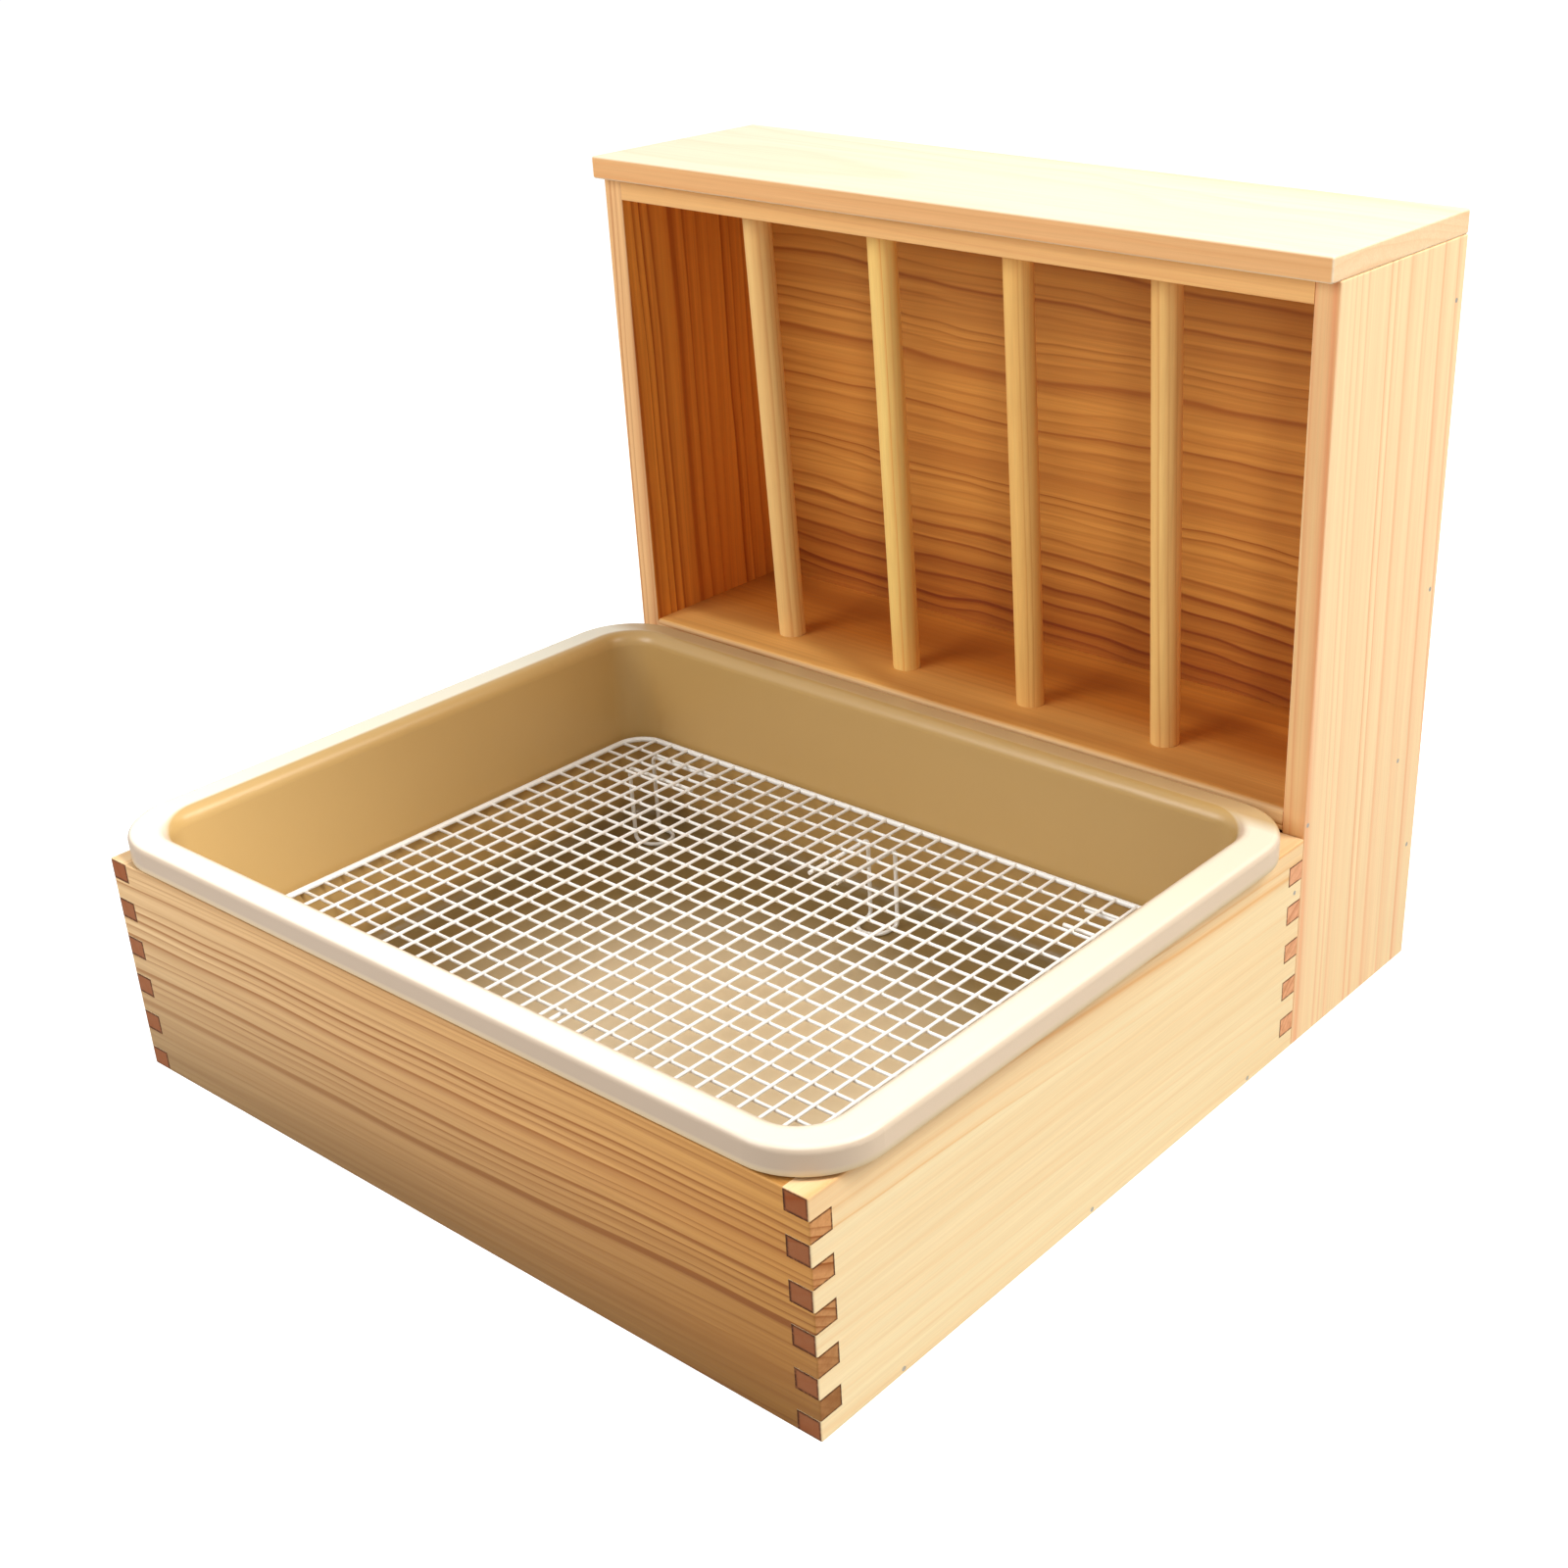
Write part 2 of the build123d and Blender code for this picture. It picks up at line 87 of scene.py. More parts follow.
def soft_lamp(name, kind, place, aim, watts, color, **settings):
    """A soft lamp that points at a place on the feeder."""
    data = bpy.data.lights.new(name, kind)
    data.energy = watts
    data.color = color
    for key, value in settings.items():
        setattr(data, key, value)
    lamp = bpy.data.objects.new(name, data)
    scene.collection.objects.link(lamp)
    lamp.location = place
    lamp.rotation_euler = (Vector(aim) - Vector(place)).to_track_quat("-Z", "Y").to_euler()


soft_lamp("key_lamp", "AREA", (1.25, 0.45, 1.75), (0.0, 0.0, 0.15), 35.0, (1.0, 0.965, 0.90), size=0.9)
soft_lamp("front_lamp", "AREA", (-0.65, -1.75, 1.35), (0.0, 0.0, 0.2), 27.0, (1.0, 0.98, 0.97), size=1.2)
soft_lamp("wall_lamp", "SPOT", (0.95, -0.42, 0.8), (-0.2, -0.245, 0.1), 97.0, (0.93, 0.96, 1.0),
          spot_size=math.radians(11.5), spot_blend=1.0, shadow_soft_size=0.1)
soft_lamp("tray_lamp", "SPOT", (0.3, -0.62, 1.15), (0.075, -0.085, 0.02), 19.0, (0.9, 0.95, 1.0),
          spot_size=math.radians(20), spot_blend=1.0, shadow_soft_size=0.08)


def new_material(name):
    """An empty node material and its tree."""
    material = bpy.data.materials.new(name)
    material.use_nodes = True
    tree = material.node_tree
    tree.nodes.clear()
    return material, tree


def add(tree, kind, values=None, **settings):
    """A node with its settings, and its inputs set to numbers or joined to sockets."""
    made = tree.nodes.new(kind)
    for key, value in settings.items():
        setattr(made, key, value)
    for key, value in (values or {}).items():
        socket = made.inputs[key]
        if isinstance(value, bpy.types.NodeSocket):
            tree.links.new(value, socket)
        else:
            socket.default_value = value
    return made


def math_node(tree, operation, a, b=0.0, c=0.0, clamp=False):
    """The result of one Math node."""
    made = add(tree, "ShaderNodeMath", {0: a, 1: b, 2: c}, operation=operation, use_clamp=clamp)
    return made.outputs[0]


world = bpy.data.worlds.new("studio")
world.use_nodes = True
air = world.node_tree
air.nodes.clear()
path = add(air, "ShaderNodeLightPath").outputs
seen = math_node(air, "MAXIMUM", path["Is Camera Ray"], path["Is Glossy Ray"])
seen = math_node(air, "MAXIMUM", seen, path["Is Transmission Ray"])
dim = add(air, "ShaderNodeBackground", {"Color": (1.0, 0.98, 0.95, 1), "Strength": 0.38})
white = add(air, "ShaderNodeBackground", {"Color": (1, 1, 1, 1), "Strength": 1.0})
sky = add(air, "ShaderNodeMixShader", {0: seen, 1: dim.outputs[0], 2: white.outputs[0]})
add(air, "ShaderNodeOutputWorld", {"Surface": sky.outputs[0]})
scene.world = world

FLOOR_HALF = 6.0
floor_mesh = bpy.data.meshes.new("floor")
floor_mesh.from_pydata(
    [(x, y, 0.0) for x, y in ((-FLOOR_HALF, -FLOOR_HALF), (FLOOR_HALF, -FLOOR_HALF),
                              (FLOOR_HALF, FLOOR_HALF), (-FLOOR_HALF, FLOOR_HALF))],
    [], [(0, 1, 2, 3)])
floor = bpy.data.objects.new("floor", floor_mesh)
scene.collection.objects.link(floor)
floor_material, floor_tree = new_material("floor_white")
floor_surface = add(floor_tree, "ShaderNodeBsdfDiffuse", {"Color": (0.62, 0.61, 0.6, 1)})
floor_path = add(floor_tree, "ShaderNodeLightPath")
floor_dark = add(floor_tree, "ShaderNodeEmission", {"Strength": 0.0})
floor_glow = add(floor_tree, "ShaderNodeEmission", {"Color": (1, 1, 1, 1), "Strength": 0.82})
floor_in_view = floor_path.outputs["Is Camera Ray"]
floor_seen = add(floor_tree, "ShaderNodeMixShader",
                 {0: floor_in_view, 1: floor_dark.outputs[0], 2: floor_glow.outputs[0]})
floor_sum = add(floor_tree, "ShaderNodeAddShader", {0: floor_surface.outputs[0], 1: floor_seen.outputs[0]})
add(floor_tree, "ShaderNodeOutputMaterial", {"Surface": floor_sum.outputs[0]})
floor_mesh.materials.append(floor_material)
floor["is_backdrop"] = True

# ---------------------------------------------------------------- litter box boards
# Four planks of raw fir, finger-jointed at the corners, glued and sanded flush.
# The long planks are flat-sawn with wavy grain, and the fingers show darker end grain in dark glue lines.
CROSS = {"X": ("Y", "Z"), "Y": ("X", "Z"), "Z": ("X", "Y")}
FINGERS = 11                               # fingers and gaps together, over the height of the boards
front_board_low, front_board_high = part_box("base_front_board")
back_board_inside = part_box("base_back_board")[0].y
finger_pitch = (front_board_high.z - front_board_low.z) / FINGERS


def color_node(tree, factor, a, b, mode="MIX"):
    """The result of one color mix."""
    made = add(tree, "ShaderNodeMix", {"Factor": factor, "A": a, "B": b}, data_type="RGBA", blend_type=mode)
    return made.outputs["Result"]


def fade_node(tree, value, none, full):
    """A share that is 0 where the value is at none and beyond, and 1 where it is at full and beyond."""
    return math_node(tree, "MULTIPLY_ADD", value, 1.0 / (full - none), -none / (full - none), clamp=True)


def wood(name, grain, pith, early, late, ring=0.0045, tilt=(0.0, 0.0), waves=0.004, wave_length=0.35,
         contrast=1.0, bold=None, fades=(), drift=0.3, drift_color=(0.8, 0.5, 0.3), streak=0.5, face_shading=(),
         end_tone=(0.86, 0.7, 0.62), glue_line=None, seed=0.0):
    """Raw softwood cut from a log: rings round a pith line, fibres along the grain, darker end grain.

    pith is the middle of the log, across the grain; tilt leans it, and waves in metres bend the rings.
    bold is the place and half width of a band of stronger rings, and their strength elsewhere.
    fades are deeper tones along an axis, as (axis, place of start, place of full tone, tone).
    each entry for faces that look one way is painted light and shade, as (axis, sign, tone, gamma): faces
    turned from the lamps or inside the rack get a deeper tone, and a gamma over 1 deepens their grain as
    painted shade.
    glue_line is the axis, the places and the width of the dark lines round the fingers.
    """
    material, tree = new_material(name)
    calc, blend, fade = (partial(kind, tree) for kind in (math_node, color_node, fade_node))
    place = add(tree, "ShaderNodeTexCoord")
    parts = add(tree, "ShaderNodeSeparateXYZ", {0: place.outputs["Object"]})
    facing = add(tree, "ShaderNodeSeparateXYZ", {0: place.outputs["Normal"]})
    across, up = CROSS[grain]
    along = parts.outputs[grain]

    def grain_noise(cross_scale, along_scale, detail, shift):
        """Noise in the log's own directions, stretched along the fibres."""
        u = calc("MULTIPLY", parts.outputs[across], cross_scale)
        v = calc("MULTIPLY", parts.outputs[up], cross_scale)
        w = calc("MULTIPLY_ADD", along, along_scale, seed + shift)
        point = add(tree, "ShaderNodeCombineXYZ", {0: u, 1: v, 2: w})
        cloud = add(tree, "ShaderNodeTexNoise",
                    {"Vector": point.outputs[0], "Scale": 1.0, "Detail": detail, "Roughness": 0.55})
        return cloud.outputs["Fac"]

    def line_noise(value, shift):
        """Noise along one line of numbers."""
        cloud = add(tree, "ShaderNodeTexNoise",
                    {"W": calc("ADD", value, seed + shift), "Scale": 1.0, "Detail": 1.0},
                    noise_dimensions="1D")
        return cloud.outputs["Fac"]

    # growth rings: distance from the pith, bent by slow waves and a few tighter ones
    slow = grain_noise(cross_scale=5.0, along_scale=1.0 / wave_length, detail=1.0, shift=3.1)
    quick = grain_noise(cross_scale=26.0, along_scale=4.5 / wave_length, detail=1.0, shift=7.7)
    bend = calc("MULTIPLY_ADD", slow, 2.0 * waves, -waves)
    bend = calc("MULTIPLY_ADD", quick, 0.35 * waves, bend)
    du = calc("ADD", parts.outputs[across], calc("MULTIPLY_ADD", along, tilt[0], -pith[0]))
    dv = calc("ADD", parts.outputs[up], calc("MULTIPLY_ADD", along, tilt[1], -pith[1]))
    flat = add(tree, "ShaderNodeCombineXYZ", {0: du, 1: dv, 2: 0.0})
    radius = add(tree, "ShaderNodeVectorMath", {0: flat.outputs[0]}, operation="LENGTH").outputs["Value"]
    radius = calc("ADD", radius, bend)
    years = calc("DIVIDE", radius, ring)

    # no two years grow alike: some rings are wider, and some are stronger
    years = calc("MULTIPLY_ADD", line_noise(calc("MULTIPLY", years, 0.43), 1.3), 2.2, years)
    year = add(tree, "ShaderNodeTexWhiteNoise", {"W": calc("FLOOR", years)}, noise_dimensions="1D")
    strength = calc("MULTIPLY_ADD", year.outputs["Value"], 0.65, 0.35)
    if bold:
        band_place, band_half, elsewhere = bold
        away = calc("ABSOLUTE", calc("SUBTRACT", calc("ADD", parts.outputs[up], bend), band_place))
        share = fade(away, 1.6 * band_half, 0.6 * band_half)
        strength = calc("MULTIPLY", strength, calc("MULTIPLY_ADD", share, 1.0 - elsewhere, elsewhere))

    # across a ring the pale early wood darkens slowly into late wood, which ends at once
    profile = add(tree, "ShaderNodeValToRGB", {"Fac": calc("FRACT", years)})
    ramp = profile.color_ramp
    ramp.interpolation = "EASE"
    for position, level in ((0.34, 0.03), (0.66, 0.4), (0.85, 1.0)):
        stop = ramp.elements.new(position)
        stop.color = (level, level, level, 1)
    ramp.elements[0].color = (0, 0, 0, 1)
    ramp.elements[-1].color = (0, 0, 0, 1)
    late_share = calc("MULTIPLY", calc("MULTIPLY", profile.outputs["Color"], strength), contrast, clamp=True)

    # strands, slow drift of color and fine fibres
    color = blend(late_share, (*early, 1), (*late, 1))
    strand = grain_noise(cross_scale=320.0, along_scale=3.0, detail=2.0, shift=17.9)
    strand_share = calc("MULTIPLY", fade(strand, 1.0 / 2.6, 2.0 / 2.6), 0.6 * streak)
    color = blend(strand_share, color, (*late, 1))
    cloud = grain_noise(cross_scale=16.0, along_scale=1.6, detail=1.5, shift=23.7)
    cloud_share = calc("MULTIPLY", fade(cloud, 1.3 / 3.4, 2.3 / 3.4), drift)
    color = blend(cloud_share, color, (*drift_color, 1))
    for fade_axis, fade_start, fade_full, fade_tone in fades:
        share = fade(parts.outputs[fade_axis], fade_start, fade_full)
        color = blend(1.0, color, blend(share, (1, 1, 1, 1), (*fade_tone, 1)), "MULTIPLY")
    fibre = grain_noise(cross_scale=1100.0, along_scale=14.0, detail=2.0, shift=11.3)
    color = blend(1.0, color, blend(fibre, (0.90, 0.88, 0.85, 1), (1.08, 1.08, 1.1, 1)), "MULTIPLY")

    # end grain drinks in more and looks darker and redder; its tone also paints light and shade on the finger
    # ends, paler where they face the key lamp and darker where they face front
    end = calc("POWER", calc("ABSOLUTE", facing.outputs[grain]), 6.0)
    color = blend(1.0, color, blend(end, (1, 1, 1, 1), (*end_tone, 1)), "MULTIPLY")
    # painted light and shade by the way each face looks: deeper tones where a face is turned from the lamps
    # or lies inside the rack
    for face_axis, face_sign, face_tone, shade_gamma in face_shading:
        look = calc("POWER", calc("MULTIPLY", facing.outputs[face_axis], face_sign, clamp=True), 4.0)
        shade_deepened = add(tree, "ShaderNodeGamma", {"Color": color, "Gamma": shade_gamma}).outputs[0]
        color = blend(look, color, blend(1.0, shade_deepened, (*face_tone, 1), "MULTIPLY"))
    if glue_line:
        # dark glue shows in the thin gaps round the end of each finger
        line_axis, line_places, line_width = glue_line
        cell = calc("PINGPONG", parts.outputs["Z"], finger_pitch / 2)
        near = fade(cell, 1.5 * line_width, 0.5 * line_width)
        for line_place in line_places:
            away = calc("ABSOLUTE", calc("SUBTRACT", parts.outputs[line_axis], line_place))
            near = calc("MAXIMUM", near, fade(away, 1.5 * line_width, 0.5 * line_width))
        blotch = grain_noise(cross_scale=700.0, along_scale=700.0, detail=1.0, shift=41.0)
        ragged = fade(blotch, 0.3 / 2.6, 1.3 / 2.6)
        near = calc("MULTIPLY", calc("MULTIPLY", near, ragged), end)
        color = blend(near, color, (0.07, 0.025, 0.012, 1))

    # the hard late wood stands a little proud of the sanded face
    height = calc("MULTIPLY_ADD", fibre, 0.7, calc("MULTIPLY", late_share, 0.5))
    bump = add(tree, "ShaderNodeBump", {"Strength": 0.3, "Distance": 0.0004, "Height": height})
    surface = add(tree, "ShaderNodeBsdfPrincipled",
                  {"Base Color": color, "Roughness": calc("MULTIPLY_ADD", fibre, 0.2, 0.46),
                   "Normal": bump.outputs[0], "Specular IOR Level": calc("MULTIPLY_ADD", end, -0.27, 0.35)})
    add(tree, "ShaderNodeOutputMaterial", {"Surface": surface.outputs[0]})
    return material


def finish_node(node_name, material):
    """Give a whole CAD piece one material."""
    piece = nodes[node_name]
    piece.data.materials.clear()
    piece.data.materials.append(material)


# The front board's tones are deeper and warmer than the end boards', partly its own wood and partly painted
# shade for its face turned from the key lamp; the fades paint further shade, darker towards the bottom and
# towards the right, and its end grain in the fingers on the right is painted paler and cooler as painted
# light.
finish_node("base_front_board", wood(
    "front_board_fir", "X", (-0.36, -0.16), (0.74, 0.52, 0.27), (0.35, 0.15, 0.04),
    ring=0.0042, tilt=(0.0, -0.02), waves=0.008, wave_length=0.5, contrast=2.0, bold=(0.073, 0.024, 0.28),
    fades=(("Z", 0.08, 0.0, (0.47, 0.44, 0.37)), ("X", -0.2, 0.2, (0.82, 0.58, 0.27))),
    drift=0.35, drift_color=(0.70, 0.42, 0.19), streak=0.7,
    end_tone=(1.15, 1.15, 1.9), glue_line=("Y", (front_board_high.y,), 0.0007), seed=2.0))
# The back board's end grain in the fingers on the right is painted paler as painted light, where it faces the
# key lamp.
finish_node("base_back_board", wood(
    "back_board_fir", "X", (0.2, -0.05), (0.80, 0.53, 0.27), (0.52, 0.26, 0.1),
    ring=0.0046, tilt=(0.02, 0.06), waves=0.006, streak=0.8, end_tone=(1.1, 0.88, 0.95),
    glue_line=("Y", (back_board_inside,), 0.0007), seed=5.0))
# The end boards' pale tones are partly their own wood and partly painted light, for faces towards the key
# lamp; their finger ends, facing front, are darkened as end grain and as painted shade.
for end_name, end_seed in (("base_left_end", 8.0), ("base_right_end", 11.0)):
    end_low, end_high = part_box(end_name)
    finish_node(end_name, wood(
        end_name + "_fir", "Y", (0.16, 0.21), (0.99, 0.83, 0.52), (0.90, 0.56, 0.24),
        ring=0.0075, tilt=(0.0, 0.05), waves=0.005, contrast=1.1, bold=(0.103, 0.012, 0.3), drift=0.25,
        drift_color=(0.94, 0.62, 0.3), streak=0.4, end_tone=(0.31, 0.14, 0.095),
        fades=(("Z", 0.088, 0.106, (0.97, 0.87, 0.80)),),
        glue_line=("X", (end_low.x, end_high.x), 0.0010), seed=end_seed))

# ---------------------------------------------------------------- litter box bottom
# A thin sheet of plywood, let in flush with the lower edges of the four boards.
# Brads through the boards hold it.
finish_node("base_bottom_panel", wood(
    "bottom_plywood", "X", (0.0, -1.2), (0.78, 0.58, 0.36), (0.62, 0.42, 0.23),
    ring=0.002, tilt=(0.03, 0.01), waves=0.01, contrast=0.5, seed=14.0))

# ---------------------------------------------------------------- hay rack boards
# Two upright sides, a back panel, a floor and a top rail, all of 12 mm fir.
# The sides have upright grain, the rest level grain; inside the rack the wood is painted a deeper orange as
# painted shade, and the front edges are painted darker as painted shade.
# painted shade: its front edge and its inner face, inside the rack, are painted deeper
finish_node("rack_right_side", wood(
    "right_side_fir", "Z", (0.9, 0.5), (0.99, 0.79, 0.47), (0.90, 0.46, 0.24),
    ring=0.0054, tilt=(0.0, 0.02), waves=0.003, wave_length=0.5, contrast=1.15, drift=0.3,
    drift_color=(0.96, 0.64, 0.38),
    face_shading=(("Y", -1, (0.91, 0.73, 0.58), 1.0), ("X", -1, (0.9, 0.62, 0.35), 1.4)),
    end_tone=(0.9, 0.8, 0.7), seed=17.0))
# painted shade: its inner face, inside the rack, and its front edge are painted deeper
finish_node("rack_left_side", wood(
    "left_side_fir", "Z", (-0.75, 0.5), (0.99, 0.80, 0.48), (0.70, 0.43, 0.22),
    ring=0.0056, tilt=(0.0, 0.03), waves=0.005, wave_length=0.4, contrast=1.5, drift=0.3,
    drift_color=(0.9, 0.62, 0.34), streak=0.7,
    face_shading=(("X", 1, (0.98, 0.63, 0.26), 1.8), ("Y", -1, (0.94, 0.71, 0.54), 1.0)), seed=20.0))
# painted shade: its inner face is a deeper orange, and it darkens towards its foot, deep inside the rack
finish_node("rack_back_panel", wood(
    "back_panel_fir", "X", (0.46, -0.08), (0.95, 0.72, 0.42), (0.54, 0.27, 0.10),
    ring=0.0066, tilt=(0.0, 0.03), waves=0.012, wave_length=0.24, contrast=1.9, bold=(0.150, 0.014, 0.55),
    fades=(("Z", 0.19, 0.135, (0.74, 0.58, 0.40)),), drift=0.35, drift_color=(0.82, 0.54, 0.26), streak=0.8,
    face_shading=(("Y", -1, (0.84, 0.61, 0.27), 1.5),), seed=23.0))
# painted shade: the floor's top face is a deeper orange, and behind a lit strip along its front edge it
# darkens under the lid
rack_floor_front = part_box("rack_floor_board")[0].y
finish_node("rack_floor_board", wood(
    "rack_floor_fir", "X", (0.16, 0.35), (0.93, 0.64, 0.32), (0.50, 0.24, 0.08),
    ring=0.007, tilt=(0.09, 0.0), waves=0.009, contrast=1.7,
    fades=(("Y", rack_floor_front + 0.020, rack_floor_front + 0.050, (0.76, 0.56, 0.32)),), drift=0.4,
    drift_color=(0.82, 0.5, 0.22), streak=0.8, face_shading=(("Z", 1, (1.08, 1.0, 0.68), 1.2),), seed=26.0))
finish_node("rack_top_rail", wood(
    "top_rail_fir", "X", (0.2, 0.5), (0.93, 0.53, 0.175), (0.78, 0.36, 0.10),
    ring=0.005, tilt=(0.0, 0.02), waves=0.003, contrast=0.8, seed=29.0))

# ---------------------------------------------------------------- rack bars
# Four turned dowels, glued into blind holes in the top rail and the rack floor.
# Each is cut from another piece of wood, and the first is a greyer one.
BAR_TONES = (
    ((0.97, 0.68, 0.27), (0.78, 0.42, 0.14)),
    ((0.99, 0.70, 0.23), (0.90, 0.44, 0.10)),
    ((0.99, 0.66, 0.22), (0.76, 0.35, 0.08)),
    ((0.98, 0.66, 0.24), (0.74, 0.38, 0.11)),
)
for bar_number, (bar_early, bar_late) in enumerate(BAR_TONES, 1):
    bar_name = f"rack_bar_{bar_number}"
    low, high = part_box(bar_name)
    finish_node(bar_name, wood(
        bar_name + "_wood", "Z", (low.x - 0.02 * bar_number, low.y - 0.05), bar_early, bar_late,
        ring=0.0045, tilt=(0.0, 0.045), waves=0.003, contrast=1.0, drift=0.45, streak=0.5,
        drift_color=bar_late, seed=30.0 + 3 * bar_number))

# ---------------------------------------------------------------- lid
# One flat plank of fir with its edges rounded, hinged at the back; its top is painted pale as painted light
# where it faces up, and its front edge is painted in the deeper tone of the wood.
# It stands out in front far enough to lift it by.
finish_node("rack_lid", wood(
    "lid_fir", "X", (0.15, 0.02), (0.97, 0.91, 0.70), (0.90, 0.72, 0.48),
    ring=0.006, tilt=(0.03, 0.01), waves=0.008, contrast=0.7, drift=0.12,
    drift_color=(0.93, 0.76, 0.5), face_shading=(("Y", -1, (0.90, 0.54, 0.30), 1.0),),
    end_tone=(0.99, 0.77, 0.64), seed=45.0))

# ---------------------------------------------------------------- hinges, screws, brads and dowels
# Two small butt hinges of zinc-plated steel behind the lid, on countersunk screws.
# Thin steel brads hold the boards, and wooden dowel pins hold the litter box to the rack.


def plated_steel(name, tone, rough):
    """Bright steel, a little cloudy."""
    material, tree = new_material(name)
    place = add(tree, "ShaderNodeTexCoord")
    spot = {"Vector": place.outputs["Object"], "Scale": 900.0, "Detail": 3.0}
    cloud = add(tree, "ShaderNodeTexNoise", spot).outputs["Fac"]
    worn = add(tree, "ShaderNodeMapRange", {"Value": cloud, "To Min": rough - 0.08, "To Max": rough + 0.12})
    shade = color_node(tree, cloud, (*tone, 1), (*[level * 0.8 for level in tone], 1))
    surface = add(tree, "ShaderNodeBsdfPrincipled",
                  {"Base Color": shade, "Metallic": 1.0, "Roughness": worn.outputs[0]})
    add(tree, "ShaderNodeOutputMaterial", {"Surface": surface.outputs[0]})
    return material


zinc = plated_steel("zinc_plate", (0.72, 0.71, 0.67), 0.36)
brad_steel = plated_steel("brad_steel", (0.62, 0.60, 0.56), 0.45)
for side_name in ("left", "right"):
    for piece_name in ("hinge_fixed_leaf", "hinge_lid_leaf", "hinge_pin"):
        finish_node(f"{side_name}_{piece_name}", zinc)
finish_node("hinge_back_screws", zinc)
finish_node("hinge_lid_screws", zinc)
for brad_name in ("base_bottom_brads", "base_corner_brads", "rack_floor_brads", "rack_back_panel_brads"):
    finish_node(brad_name, brad_steel)
finish_node("box_to_rack_dowels", wood(
    "joint_dowel_wood", "Y", (0.3, 0.0), (0.80, 0.6, 0.38), (0.66, 0.44, 0.24), seed=50.0))

# ---------------------------------------------------------------- litter tray
# One piece of plastic, moulded with a wide rim that hooks over the boards.
# The rim's flat top is painted pale as painted light; the skirt, the basin and the back of the rim, under the
# rack, are painted in deeper khaki tones as painted shade, over the basin's own khaki.
tray_low, tray_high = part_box("litter_tray")
RIM_LEFT, RIM_RIGHT = 0.0135, 0.0195       # widths of the rim's flat top, which is painted pale as painted light
RIM_FRONT, RIM_BACK = 0.0160, 0.0100
LIP_CORNER = 0.025                         # the radius of its inner corners
# where each tone starts and where it is full
LIP_SOFT = (0.0004, -0.0016)               # the basin's, out from the inner edge of the rim
SKIRT_DEPTH = (0.0001, 0.0011)             # the skirt's, under the rim's top
BASIN_DEPTH = (0.009, 0.013)               # the basin's, under the rim's top
RACK_SHADE_BACK = (0.022, 0.012)                # the painted shade, in khaki, at the back of the rim under the rack, in from the tray's back
RACK_SHADE_SHARE = 0.85
FLOOR_HEIGHT = (0.016, 0.004)              # the floor's, over the tray's foot
FLOOR_LIGHT_PLACE = (0.01, -0.075)               # the pool of painted light on the floor
FLOOR_LIGHT_SIZE = (0.15, 0.105)
FLOOR_LIGHT_EDGE = (1.219, 0.594)                # as shares of its size


